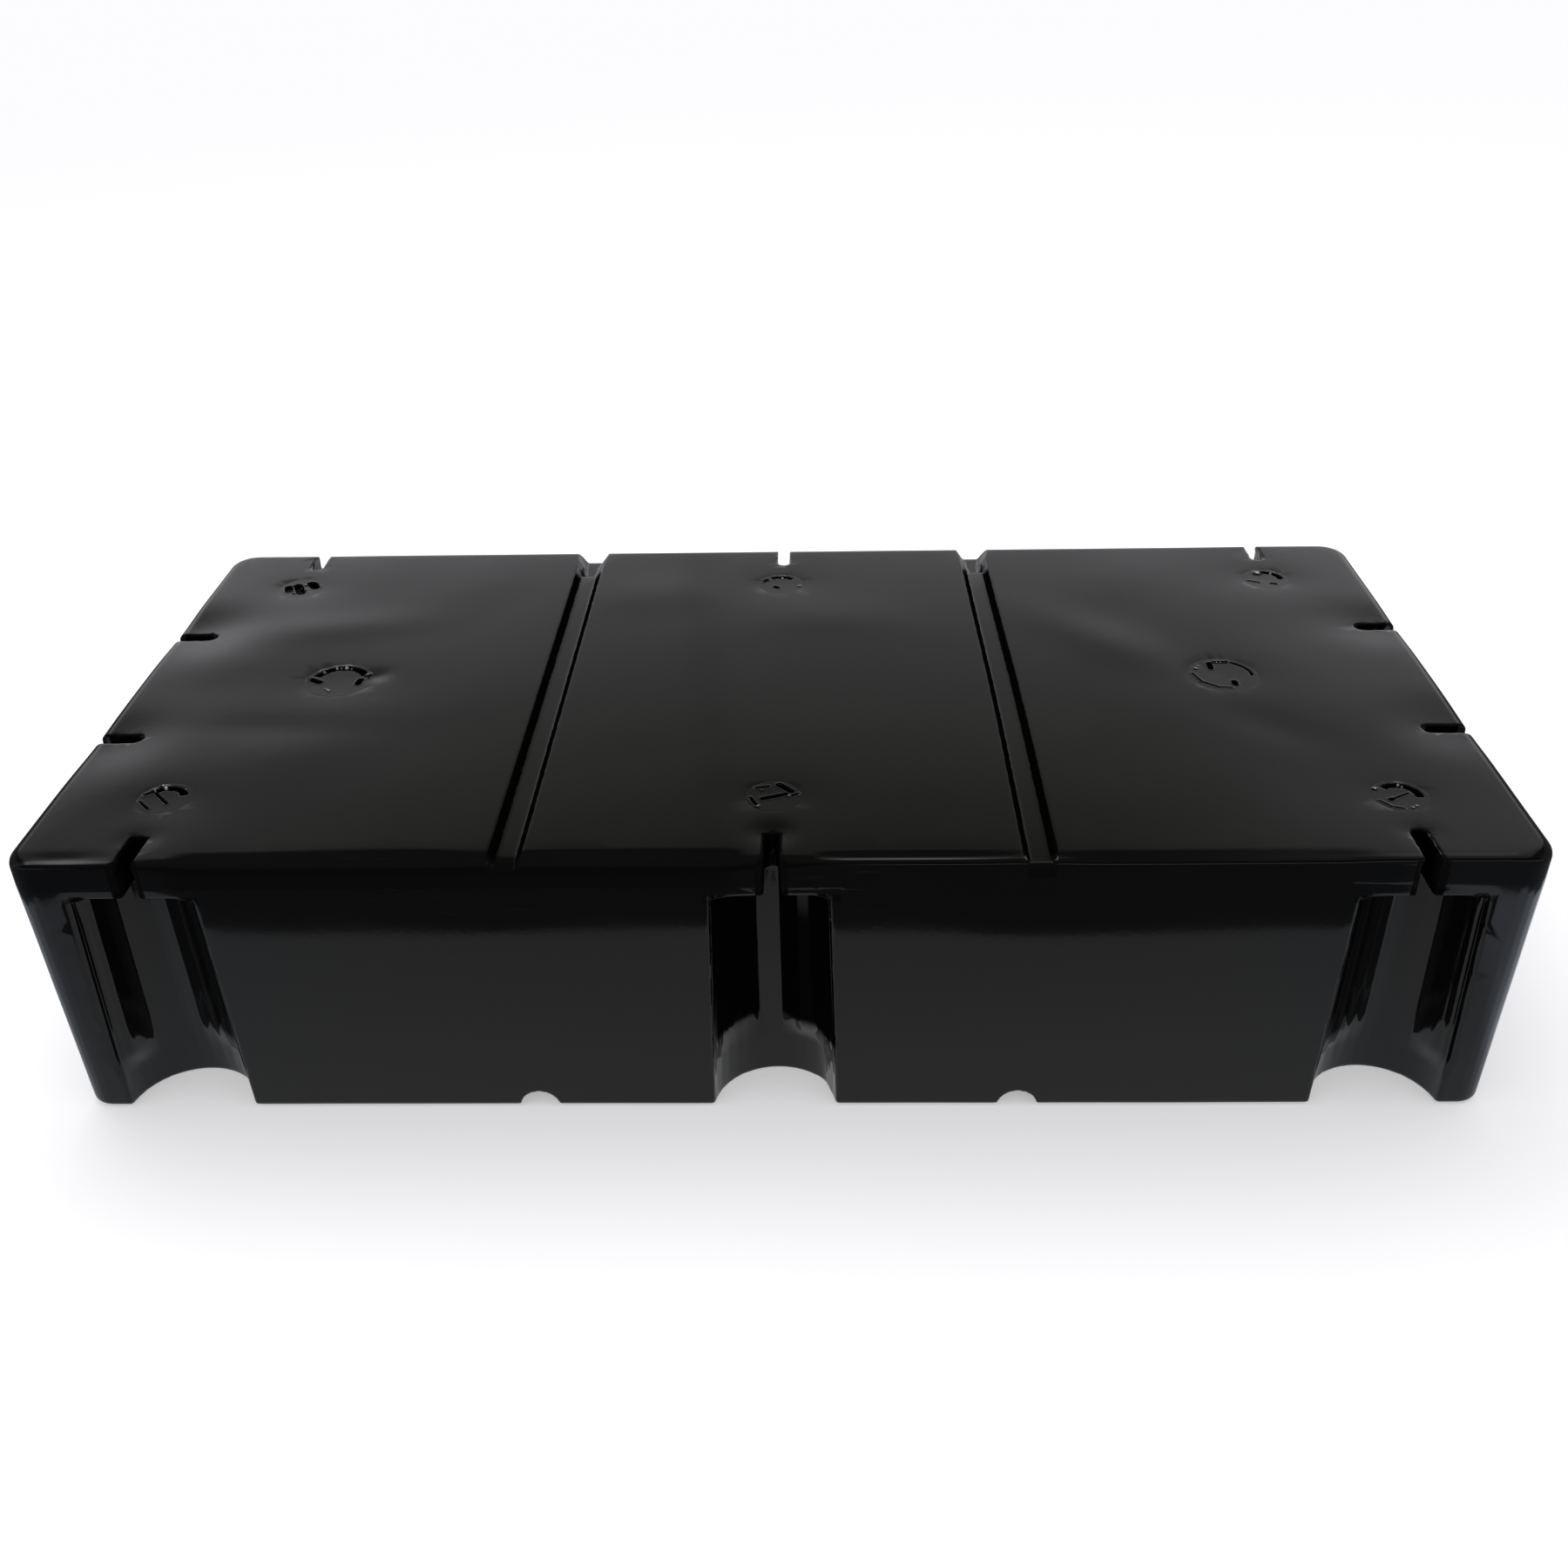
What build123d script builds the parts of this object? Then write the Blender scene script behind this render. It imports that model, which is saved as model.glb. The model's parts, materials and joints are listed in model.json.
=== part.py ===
from build123d import *
import os

os.makedirs("parts", exist_ok=True)

# Block. X runs along the length, Y across the width, Z up; the base lies on Z = 0.
length = 1220.0
width = 610.0
height = 260.0
corner_r = 28.0            # vertical corners of the rim
deck_edge_r = 10.0         # rounding of the deck's outer edge
parting_depth = 25.0       # from the deck down to the moulding seam
parting_step = 0.5         # the wall stands this far inside the rim
wall_draft = 1.5           # degrees, the wall narrows towards the base
base_edge_r = 6.0

# Wall pockets and the bolt slots above them.
rim_thickness = 38.0       # deck to the roof of a pocket
pocket_r = 49.0            # at the roof
pocket_draft = 1.5         # degrees, a pocket widens towards the base
pocket_roof_r = 5.0        # the roof runs into the pocket's wall
pocket_lip_r = 3.0         # the pocket's upright edges on the wall
slot_width = 13.0
slot_reach = 43.0          # from the rim's edge to the slot's inner end
mouth_r = 6.0              # rounded corners where a slot opens at the edge
slot_inset = 100.0         # from each end of the block to its nearest slots
short_side_pitch = 203.0   # spacing of the slots along each short side

# Channels across the deck and grooves across the base.
channel_x = 210.0
channel_floor = 17.0
channel_depth = 6.0
channel_wall_lean = 4.5    # each wall leans out by this much
channel_lip_r = 1.0
channel_root_r = 1.5
mouth_length = 62.0        # over this length each channel deepens and widens to the back edge
mouth_depth = 14.0
mouth_floor = 16.0
mouth_wall_lean = 10.5
groove_x = 206.0
groove_r = 17.0
groove_lip_r = 3.0

# Plugs and their seats in the deck.
weld_gap = 0.3             # all round, between a plug and its seat
vent_inset = 98.0          # from the block's end to the nearest vent plugs
vent_edge_inset = 92.0     # from the front or back edge to the vent plugs
vent_r = 20.0
vent_thickness = 4.0
vent_sunk = 2.5            # the plug's top lies this far below the deck
vent_slot_length = 26.0
vent_slot_width = 3.0
vent_slot_depth = 2.0
fill_inset = 195.0         # from the block's end to the fill plug
fill_r = 29.0
fill_thickness = 6.0
fill_sunk = 3.0
notch_pitch = 38.0         # between the two spanner notches
notch_side = 5.0
notch_depth = 3.0
plug_edge_r = 0.8
seat_lip_r = 1.0

half_l, half_w = length / 2, width / 2
long_side_pitch = half_l - slot_inset   # spacing of the slots along the front and the back
vent_x, vent_y = half_l - vent_inset, half_w - vent_edge_inset
fill_x = half_l - fill_inset
channel_top = channel_floor / 2 + channel_wall_lean
overcut = 1.0              # cuts run this far past the faces that they open
roof_z = height - rim_thickness
seam_z = height - parting_depth

# Every slot's place on the rim's edge, turned so that its own +X points outwards.
slot_places = []
for k in (-1, 0, 1):
    slot_places.append(Location((k * long_side_pitch, -half_w, 0), (0, 0, -90)))
    slot_places.append(Location((k * long_side_pitch, half_w, 0), (0, 0, 90)))
for k in (-0.5, 0.5):
    slot_places.append(Location((-half_l, k * short_side_pitch, 0), (0, 0, 180)))
    slot_places.append(Location((half_l, k * short_side_pitch, 0), (0, 0, 0)))

# Each plug's centre and turn. The few millimetres added are how far off its even place it was set.
vent_places = {
    "front_left": (-vent_x + 2, -vent_y + 8, -45),
    "front_middle": (0, -vent_y + 5, 27),
    "front_right": (vent_x, -vent_y, 25),
    "back_left": (-vent_x, vent_y, -46),
    "back_middle": (-2, vent_y, 10),
    "back_right": (vent_x - 6, vent_y, -70),
}
fill_places = {
    "left": (-fill_x - 2, 4, -1),
    "right": (fill_x, 0, -63),
}

with BuildPart() as float_body:
    # rim, with the deck's outer edge rounded over
    with BuildSketch(Plane.XY.offset(seam_z)):
        RectangleRounded(length, width, corner_r)
    extrude(amount=parting_depth)
    fillet(float_body.faces().sort_by(Axis.Z)[-1].edges(), deck_edge_r)

    # drafted wall down to the base
    with BuildSketch(Plane.XY.offset(seam_z)):
        RectangleRounded(length - 2 * parting_step, width - 2 * parting_step, corner_r - parting_step)
    extrude(amount=-seam_z, taper=wall_draft)
    fillet(float_body.faces().sort_by(Axis.Z)[0].edges(), base_edge_r)

    # half-round pocket down the wall under each slot
    with BuildSketch(Plane.XY.offset(roof_z)):
        with Locations(*slot_places):
            Circle(pocket_r)
    extrude(amount=-roof_z, taper=-pocket_draft, mode=Mode.SUBTRACT)
    roof_arcs = float_body.edges().filter_by(GeomType.CIRCLE).filter_by_position(
        Axis.Z, roof_z - 0.1, roof_z + 0.1)
    fillet(roof_arcs, pocket_roof_r)
    pocket_lips = [
        e for e in float_body.edges()
        if e.length > roof_z / 2 and abs(e.center().Z - roof_z / 2) < roof_z / 8
        and min((e.center() - place.position).project_to_plane(Plane.XY).length
                for place in slot_places) < pocket_r + corner_r / 2
    ]
    fillet(pocket_lips, pocket_lip_r)

    # slots through the rim, open at the edge, with rounded mouths
    with BuildSketch(Plane.XY.offset(height)):
        with Locations(*slot_places):
            Rectangle(2 * mouth_r, slot_width + 2 * mouth_r)
        with Locations(*[place * Location((-mouth_r, side * (slot_width / 2 + mouth_r), 0))
                         for place in slot_places for side in (-1, 1)]):
            Circle(mouth_r, mode=Mode.SUBTRACT)
        with Locations(*slot_places):
            SlotOverall(2 * slot_reach, slot_width)
    extrude(amount=-rim_thickness - pocket_roof_r, mode=Mode.SUBTRACT)

    # channels across the deck, front edge to back edge, with rounded lips and roots
    with BuildSketch(Plane.XZ) as channel_section:
        for x in (-channel_x, channel_x):
            with BuildLine():
                Polyline(
                    (x - channel_top, height), (x - channel_floor / 2, height - channel_depth),
                    (x + channel_floor / 2, height - channel_depth), (x + channel_top, height),
                    close=True,
                )
            make_face()
        with Locations((-channel_x, height + channel_top), (channel_x, height + channel_top)):
            Rectangle(4 * channel_top, 2 * channel_top)
        channel_corners = channel_section.vertices().group_by(Axis.Y)
        fillet(channel_corners[0], channel_root_r)
        fillet([v for v in channel_section.vertices().filter_by_position(Axis.Y, height - 0.1, height + 0.1)
                if abs(abs(v.X) - channel_x) < channel_top + 0.1], channel_lip_r)
    extrude(amount=width, both=True, mode=Mode.SUBTRACT)

    # towards the back edge each channel opens into a deeper, wider mouth
    for x in (-channel_x, channel_x):
        for y, floor, depth, lean in (
            (half_w - mouth_length, channel_floor / 2, channel_depth / 2, channel_wall_lean / 2),
            (half_w + overcut, mouth_floor, mouth_depth, mouth_wall_lean),
        ):
            with BuildSketch(Plane.XZ.offset(-y)):
                with BuildLine():
                    top = floor / 2 + lean * (1 + overcut / depth)
                    Polyline(
                        (x - top, height + overcut), (x - floor / 2, height - depth),
                        (x + floor / 2, height - depth), (x + top, height + overcut),
                        close=True,
                    )
                make_face()
        loft(ruled=True, mode=Mode.SUBTRACT)

    # half-round grooves across the base
    with BuildSketch(Plane.XZ) as groove_section:
        with Locations((-groove_x, 0), (groove_x, 0)):
            Circle(groove_r)
        with Locations((-groove_x, -groove_r), (groove_x, -groove_r)):
            Rectangle(4 * groove_r, 2 * groove_r)
        fillet([v for v in groove_section.vertices().filter_by_position(Axis.Y, -0.1, 0.1)
                if abs(abs(v.X) - groove_x) < groove_r + 0.1], groove_lip_r)
    extrude(amount=width, both=True, mode=Mode.SUBTRACT)

    # blind seats for the plugs
    with BuildSketch(Plane.XY.offset(height)):
        with Locations(*[(x, y) for x, y, turn in vent_places.values()]):
            Circle(vent_r + weld_gap)
    extrude(amount=-(vent_sunk + vent_thickness), mode=Mode.SUBTRACT)
    with BuildSketch(Plane.XY.offset(height)):
        with Locations(*[(x, y) for x, y, turn in fill_places.values()]):
            Circle(fill_r + weld_gap)
    extrude(amount=-(fill_sunk + fill_thickness), mode=Mode.SUBTRACT)
    seat_lips = [
        e for e in float_body.edges().filter_by(GeomType.CIRCLE).group_by(Axis.Z)[-1]
        if abs(e.radius - vent_r - weld_gap) < 0.01 or abs(e.radius - fill_r - weld_gap) < 0.01
    ]
    fillet(seat_lips, seat_lip_r)

float_body.part.label = "float_body"
export_step(float_body.part, "parts/float_body.step")

# Vent plugs: a disc with a driver slot across it, welded in at whatever angle it stopped.
for name, (x, y, turn) in vent_places.items():
    vent_top = height - vent_sunk
    with BuildPart() as vent_plug:
        with BuildSketch(Plane.XY.offset(vent_top)):
            with Locations((x, y)):
                Circle(vent_r)
        extrude(amount=-vent_thickness)
        fillet(vent_plug.faces().sort_by(Axis.Z)[-1].edges(), plug_edge_r)
        with BuildSketch(Plane.XY.offset(vent_top)):
            with Locations(Location((x, y, 0), (0, 0, turn))):
                SlotOverall(vent_slot_length, vent_slot_width)
        extrude(amount=-vent_slot_depth, mode=Mode.SUBTRACT)
    vent_plug.part.label = "vent_plug_" + name
    export_step(vent_plug.part, "parts/vent_plug_" + name + ".step")

# Fill plugs: a larger disc with two square notches for a pin spanner.
for name, (x, y, turn) in fill_places.items():
    fill_top = height - fill_sunk
    with BuildPart() as fill_plug:
        with BuildSketch(Plane.XY.offset(fill_top)):
            with Locations((x, y)):
                Circle(fill_r)
        extrude(amount=-fill_thickness)
        fillet(fill_plug.faces().sort_by(Axis.Z)[-1].edges(), plug_edge_r)
        with BuildSketch(Plane.XY.offset(fill_top)):
            with Locations(Location((x, y, 0), (0, 0, turn))):
                with GridLocations(notch_pitch, 0, 2, 1):
                    Rectangle(notch_side, notch_side)
        extrude(amount=-notch_depth, mode=Mode.SUBTRACT)
    fill_plug.part.label = "fill_plug_" + name
    export_step(fill_plug.part, "parts/fill_plug_" + name + ".step")
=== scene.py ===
import json
import math
import bpy
import numpy as np
from mathutils import Matrix, Vector

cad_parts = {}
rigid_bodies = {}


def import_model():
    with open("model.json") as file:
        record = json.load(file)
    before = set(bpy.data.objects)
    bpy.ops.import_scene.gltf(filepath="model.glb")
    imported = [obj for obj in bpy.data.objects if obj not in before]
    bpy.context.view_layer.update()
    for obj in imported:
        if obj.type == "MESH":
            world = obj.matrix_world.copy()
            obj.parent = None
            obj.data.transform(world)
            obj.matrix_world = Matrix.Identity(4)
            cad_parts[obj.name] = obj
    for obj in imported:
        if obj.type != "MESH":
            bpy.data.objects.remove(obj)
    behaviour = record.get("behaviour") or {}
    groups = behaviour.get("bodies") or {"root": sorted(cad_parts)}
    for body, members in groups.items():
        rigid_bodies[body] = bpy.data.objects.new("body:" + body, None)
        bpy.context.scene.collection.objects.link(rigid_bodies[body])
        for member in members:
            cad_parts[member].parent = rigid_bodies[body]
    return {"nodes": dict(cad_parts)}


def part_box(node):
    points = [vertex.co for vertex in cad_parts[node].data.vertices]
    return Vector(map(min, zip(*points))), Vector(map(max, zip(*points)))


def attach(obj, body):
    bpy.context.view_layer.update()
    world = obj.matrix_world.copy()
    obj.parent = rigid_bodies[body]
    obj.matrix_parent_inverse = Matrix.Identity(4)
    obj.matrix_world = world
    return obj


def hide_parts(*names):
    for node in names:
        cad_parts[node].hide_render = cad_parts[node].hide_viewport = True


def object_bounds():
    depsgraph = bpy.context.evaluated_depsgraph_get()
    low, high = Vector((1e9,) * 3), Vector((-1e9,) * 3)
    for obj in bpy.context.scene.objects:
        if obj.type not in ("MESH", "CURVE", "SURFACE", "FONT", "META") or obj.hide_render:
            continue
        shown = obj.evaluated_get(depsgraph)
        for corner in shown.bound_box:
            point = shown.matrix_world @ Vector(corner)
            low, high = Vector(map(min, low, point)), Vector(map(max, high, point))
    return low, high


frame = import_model()
cad_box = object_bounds()

MM = 0.001
# The block's half length, half width and height in millimetres, from the frame.
HALF_L, HALF_W, DECK_Z = (round(v / MM, 1) for v in cad_box[1])
# A pocket's radius at its roof, the roof's height, and how far a pocket widens towards its foot.
POCKET_R, ROOF_Z, POCKET_DRAFT = 49.0, 222.0, math.radians(1.5)
# How far the channels, the slots of the long sides and those of the short sides lie from the middle.
CHANNEL_X, SLOT_X, SHORT_SIDE_Y = 210.0, 510.0, 101.5
# From the rim's edge to the centre of a slot's round end.
SLOT_END = 36.5
SKIN_VOXEL = 0.0014
SKIN_TRIANGLES = 190000


# Shader wiring
class Wire:
    """A socket of a material; arithmetic on wires adds Math nodes."""

    def __init__(self, tree, socket):
        self.tree, self.socket = tree, socket

    def _math(self, operation, *values):
        node = self.tree.nodes.new("ShaderNodeMath")
        node.operation = operation
        for place, value in zip(node.inputs, values):
            plug_in(self.tree, place, value)
        return Wire(self.tree, node.outputs[0])

    def __add__(self, other):
        return self._math("ADD", self, other)

    def __radd__(self, other):
        return self._math("ADD", other, self)

    def __sub__(self, other):
        return self._math("SUBTRACT", self, other)

    def __rsub__(self, other):
        return self._math("SUBTRACT", other, self)

    def __mul__(self, other):
        return self._math("MULTIPLY", self, other)

    def __rmul__(self, other):
        return self._math("MULTIPLY", other, self)

    def __truediv__(self, other):
        return self._math("DIVIDE", self, other)

    def __rtruediv__(self, other):
        return self._math("DIVIDE", other, self)

    def __pow__(self, other):
        return self._math("POWER", self, other)

    def __abs__(self):
        return self._math("ABSOLUTE", self)

    def larger(self, other):
        return self._math("MAXIMUM", self, other)

    def smaller(self, other):
        return self._math("MINIMUM", self, other)

    def ramp_between(self, low, high):
        """0 below low, 1 above high, smooth in between."""
        node = self.tree.nodes.new("ShaderNodeMapRange")
        node.interpolation_type = "SMOOTHSTEP"
        plug_in(self.tree, node.inputs["Value"], self)
        node.inputs["From Min"].default_value = low
        node.inputs["From Max"].default_value = high
        return Wire(self.tree, node.outputs["Result"])


def plug_in(tree, place, value):
    if isinstance(value, Wire):
        tree.links.new(value.socket, place)
    else:
        place.default_value = value


class Bench:
    """A node tree being wired: one method adds any node."""

    def __init__(self, tree):
        self.tree = tree
        tree.nodes.clear()

    def node(self, kind, settings=None, output=0, **sockets):
        made = self.tree.nodes.new("ShaderNode" + kind)
        for name, value in (settings or {}).items():
            if name == "stops":
                ramp = made.color_ramp
                while len(ramp.elements) < len(value):
                    ramp.elements.new(0.5)
                for element, (at, tone) in zip(ramp.elements, value):
                    element.position, element.color = at, tone
            else:
                setattr(made, name, value)
        for name, value in sockets.items():
            key = int(name[1:]) if name[0] == "_" and name[1:].isdigit() else name.replace("_", " ")
            plug_in(self.tree, made.inputs[key], value)
        return Wire(self.tree, made.outputs[output])

    def blend(self, amount, low, high):
        """Colour mix of two colours or wires."""
        return self.node("Mix", {"data_type": "RGBA"}, 2, _0=amount, _6=low, _7=high)

    def grain(self, where, scale, detail=3.0, rough=0.5):
        return self.node("TexNoise", None, 0, Vector=where, Scale=scale, Detail=detail, Roughness=rough)

    def axis(self, where, name):
        """One coordinate of a place or a direction."""
        return self.node("SeparateXYZ", None, name, Vector=where)

    def ray(self, kind):
        """1 for rays of one kind, such as those that a gloss mirrors."""
        return self.node("LightPath", None, "Is " + kind + " Ray")

    def show(self, kind, shader):
        """Ends the tree: the shader goes to the material's or the world's surface."""
        out = self.tree.nodes.new("ShaderNodeOutput" + kind)
        plug_in(self.tree, out.inputs["Surface"], shader)


# Stage, light, camera

# The camera's focal length and the photograph's side in pixels, and the sensor that stands for that side.
FOCAL_PX, PHOTO_PX, SENSOR_MM = 1797.6, 1800, 36.0

# The studio's walls as the gloss mirrors them: how high, and the tone there.
WALL_TONES = [
    (0.00, (0.80, 0.80, 0.82, 1)), (0.30, (0.90, 0.90, 0.93, 1)), (0.395, (0.52, 0.52, 0.54, 1)),
    (0.45, (0.33, 0.33, 0.33, 1)), (0.505, (0.245, 0.245, 0.228, 1)), (0.56, (0.15, 0.15, 0.13, 1)),
    (0.66, (0.045, 0.045, 0.045, 1)), (0.95, (0.08, 0.08, 0.085, 1)),
]


def studio_light():
    """Bright low walls behind the block, dark above, a dim room before it; the camera sees white."""
    world = bpy.data.worlds.new("studio")
    bpy.context.scene.world = world
    world.use_nodes = True
    bench = Bench(world.node_tree)
    toward = bench.node("TexCoord", None, "Generated")
    across = bench.axis(toward, "X")
    along = bench.axis(toward, "Y")
    up = bench.axis(toward, "Z")
    side = abs(across)
    lift = up - side.ramp_between(0.12, 0.75) * 0.12
    walls = bench.node("ValToRGB", {"stops": WALL_TONES}, 0, Fac=lift)
    leftward = -1.0 * across
    post = (1 - abs(across / along + 0.082).ramp_between(0.006, 0.018)) * 0.10
    open_sides = (across.ramp_between(0.47, 0.60) + leftward.ramp_between(0.50, 0.62)).smaller(1.0)
    high = up.ramp_between(0.465, 0.50)
    walls = bench.blend(across.ramp_between(0.18, 0.42) * high * 0.35, walls, (0.5, 0.5, 0.54, 1))
    walls = bench.blend(leftward.ramp_between(0.20, 0.40) * high * 0.25, walls, (0.12, 0.12, 0.125, 1))
    walls = bench.blend(open_sides * 0.9 + post, walls, (0.02, 0.02, 0.02, 1))
    window = (across.ramp_between(0.0, 0.06) + leftward.ramp_between(0.43, 0.47)).smaller(1.0)
    room = 0.035 + up.ramp_between(0.6, 0.95) * 0.045 + (1 - up.ramp_between(0.03, 0.12)) * window * 1.1
    glossy_tone = bench.blend((-1.0 * along).ramp_between(0.05, 0.3), walls, room)
    seen = bench.ray("Camera").larger(bench.ray("Transmission"))
    tone = bench.blend(bench.ray("Glossy"), (0.72, 0.72, 0.74, 1), glossy_tone)
    tone = bench.blend(seen, tone, (1, 1, 1, 1))
    bench.show("World", bench.node("Background", None, 0, Color=tone, Strength=1.0))


def select_only(piece):
    bpy.ops.object.select_all(action="DESELECT")
    piece.select_set(True)
    bpy.context.view_layer.objects.active = piece


def lay_floor():
    """A pale floor; to the gloss it shows a painted glow, bright near the block and dark further off."""
    bpy.ops.object.select_all(action="DESELECT")
    bpy.ops.mesh.primitive_plane_add(size=24, location=(0, 0, -0.0005))
    floor = bpy.context.object
    floor.name = "studio_floor"
    paint = bpy.data.materials.new("pale_floor")
    paint.use_nodes = True
    bench = Bench(paint.node_tree)
    place = bench.node("TexCoord", None, "Object")
    across = bench.axis(place, "X")
    along = bench.axis(place, "Y")
    # the painted glow that only the gloss sees: bright within a reach of the block, dark beyond it, bluer
    # off the ends
    front = -HALF_W * MM - along
    wide = abs(across)
    beside = (wide - HALF_L * MM).larger(0.0)
    outward = (front.larger(0.0) ** 2 + beside ** 2) ** 0.5
    reach = 0.229 + wide.ramp_between(0.60, 0.68) * 0.085
    near = 1 - (outward - reach).ramp_between(-0.003, 0.003)
    fade = 0.375 - front.ramp_between(0.0, 0.20) * 0.06
    mirrored = (near * fade + 0.065) * (1 + across.ramp_between(0.63, 0.72) * 0.55)
    tint = bench.blend(wide.ramp_between(0.35, 0.75), (0.98, 0.99, 1, 1), (0.90, 0.97, 1.08, 1))
    pale = bench.node("BsdfDiffuse", None, 0, Color=(0.86, 0.86, 0.87, 1))
    white = bench.node("Emission", None, 0, Color=(1, 1, 1, 1), Strength=0.36)
    sheet = bench.node("AddShader", None, 0, _0=pale, _1=white)
    glow_tone = bench.blend(mirrored, (0, 0, 0, 1), tint)
    glow = bench.node("Emission", None, 0, Color=glow_tone, Strength=1.0)
    bench.show("Material", bench.node("MixShader", None, 0, _0=bench.ray("Glossy"), _1=sheet, _2=glow))
    floor.data.materials.append(paint)


def hang_softbox():
    """One broad soft lamp high behind the block."""
    lamp = bpy.data.lights.new("softbox", "AREA")
    lamp.shape, lamp.size, lamp.size_y, lamp.energy = "RECTANGLE", 2.4, 1.6, 24
    box = bpy.data.objects.new("softbox", lamp)
    bpy.context.scene.collection.objects.link(box)
    tilt = Vector((-0.25, 0.38, 1)).to_track_quat("Z", "Y")
    box.matrix_world = Matrix.LocRotScale(Vector((-0.5, 0.9, 2.3)), tilt, None)
    box.visible_camera = False
    box.visible_glossy = False


def set_camera():
    """The photograph's own camera, solved from the block's edges, slots, channels and plugs."""
    yaw, pitch, roll = math.radians(-1.6447), math.radians(31.745), math.radians(-1.2576)
    ahead = Vector((math.sin(yaw) * math.cos(pitch), math.cos(yaw) * math.cos(pitch), -math.sin(pitch)))
    right = Vector((math.cos(yaw), -math.sin(yaw), 0))
    above = right.cross(ahead)
    tilted_right = right * math.cos(roll) + above * math.sin(roll)
    tilted_up = above * math.cos(roll) - right * math.sin(roll)
    lens = bpy.data.cameras.new("camera")
    lens.sensor_width, lens.lens = SENSOR_MM, SENSOR_MM * FOCAL_PX / PHOTO_PX
    lens.clip_start, lens.clip_end = 0.05, 60
    camera = bpy.data.objects.new("camera", lens)
    bpy.context.scene.collection.objects.link(camera)
    turn = Matrix((tilted_right, tilted_up, -ahead)).transposed()
    camera.matrix_world = Matrix.Translation((0.0403, -1.3040, 0.9500)) @ turn.to_4x4()
    bpy.context.scene.camera = camera


# The moulded skin
def copy_node(node, name):
    """A piece of its own from a CAD node's mesh, with the doubles merged."""
    piece = bpy.data.objects.new(name, frame["nodes"][node].data.copy())
    bpy.context.scene.collection.objects.link(piece)
    piece.data.materials.clear()
    select_only(piece)
    bpy.ops.object.mode_set(mode="EDIT")
    bpy.ops.mesh.select_all(action="SELECT")
    bpy.ops.mesh.remove_doubles(threshold=0.00002)
    bpy.ops.object.mode_set(mode="OBJECT")
    return piece


def apply_modifier(piece, kind, **settings):
    select_only(piece)
    modifier = piece.modifiers.new(kind.lower(), kind)
    for name, value in settings.items():
        setattr(modifier, name, value)
    bpy.ops.object.modifier_apply(modifier=modifier.name)


def points_of(piece):
    flat = np.zeros(len(piece.data.vertices) * 3, np.float32)
    piece.data.vertices.foreach_get("co", flat)
    return flat.reshape(-1, 3).astype(float)


def put_points(piece, points):
    piece.data.vertices.foreach_set("co", points.astype(np.float32).ravel())
    piece.data.update()


def step_up(value, low, high):
    t = np.clip((value - low) / (high - low), 0, 1)
    return t * t * (3 - 2 * t)


def hump(x, y, at, reach, turn=0.0):
    """A soft round bump of height 1 at a place, reaching so far each way, in millimetres."""
    c, s = math.cos(math.radians(turn)), math.sin(math.radians(turn))
    u = ((x - at[0]) * c + (y - at[1]) * s) / reach[0]
    v = (-(x - at[0]) * s + (y - at[1]) * c) / reach[1]
    return np.exp(-(u * u + v * v))


def ripple(x, y, z, size, seed):
    """Smooth uneven waves, about -1 to 1, built from a few crossed sines."""
    total = np.zeros_like(x)
    for k in range(5):
        a = seed * 1.7 + k * 2.399
        turn = x * math.cos(a) + y * math.sin(a) + z * math.cos(a * 1.3 + 0.7)
        total += np.sin(turn / size * (1 + 0.37 * k) * 2.1 + a * 3.1) / (1 + 0.5 * k)
    return total / 2.6


# Soft dips and crowns left in the deck by cooling: place, reach, turn, height in millimetres.
DECK_WAVES = [
    ((-588, 116), (46, 46), -25, -2.6), ((-455, 116), (95, 32), 9, 0.75),
    ((-590, -108), (44, 50), -30, -2.4), ((-450, -88), (90, 26), -3, -0.5),
    ((-383, 13), (11, 12), 0, -0.8), ((-540, 40), (60, 45), 20, 0.7),
    ((-131, 190), (60, 40), 0, 0.4), ((55, 128), (70, 40), 0, 0.4),
    ((0, -262), (16, 15), 0, -1.1), ((510, -266), (16, 14), 0, -0.7), ((-510, -266), (16, 14), 0, -0.6),
    ((318, 72), (90, 35), -50, 0.85), ((440, -98), (62, 28), -42, -0.5),
    ((592, 102), (50, 42), 0, -1.9), ((592, -100), (46, 42), 0, -1.6),
    ((512, -213), (44, 34), 0, -0.6), ((-512, -213), (44, 34), 0, -0.6), ((0, -213), (44, 34), 0, -0.4),
    ((512, 213), (44, 34), 0, -0.6), ((-512, 213), (44, 34), 0, -0.6), ((0, 213), (44, 34), 0, -0.4),
    ((-415, 0), (52, 44), 0, -0.9), ((415, 0), (52, 44), 0, -0.7),
]
# Long walls bow out a little between their pockets: middle, reach, height.
WALL_BOWS = [((255, 105), (150, 95), 1.4), ((-255, 105), (160, 95), 0.6)]

# Thin ridges of flash where the mould's halves met: from, to and how high up the front.
FLASH_LINES = [(450, 503, 239.3), (-28, -11, 236.4), (12, 78, 235.3)]

# A pocket's half section on each side of its slot: distance from the slot's line, depth behind the rim.
ROUND_FLANK = [(9.5, 49), (14, 46), (24, 39.5), (34, 31), (42, 21), (47, 11), (50, 0)]
STEEP_FLANK = [(3.5, 49), (12, 42), (19, 36), (28, 32.5), (35, 25.5), (42, 17.5), (47, 9), (50, 0)]
BROAD_FLANK = [(14, 49), (24, 41.5), (34, 33), (42, 22), (47, 11), (50, 0)]
EASY_FLANK = [(2, 49), (12, 45.5), (24, 39.5), (34, 31.5), (42, 21.5), (47, 11), (50, 0)]
OPEN_FLANK = [(9.5, 49), (20, 44.5), (31, 37), (40, 18), (46, 8.5), (50, 4.5), (52.5, 0)]
LIPPED_FLANK = [(9.5, 49), (20, 44.5), (31, 37), (40, 15), (54, 0)]

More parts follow.
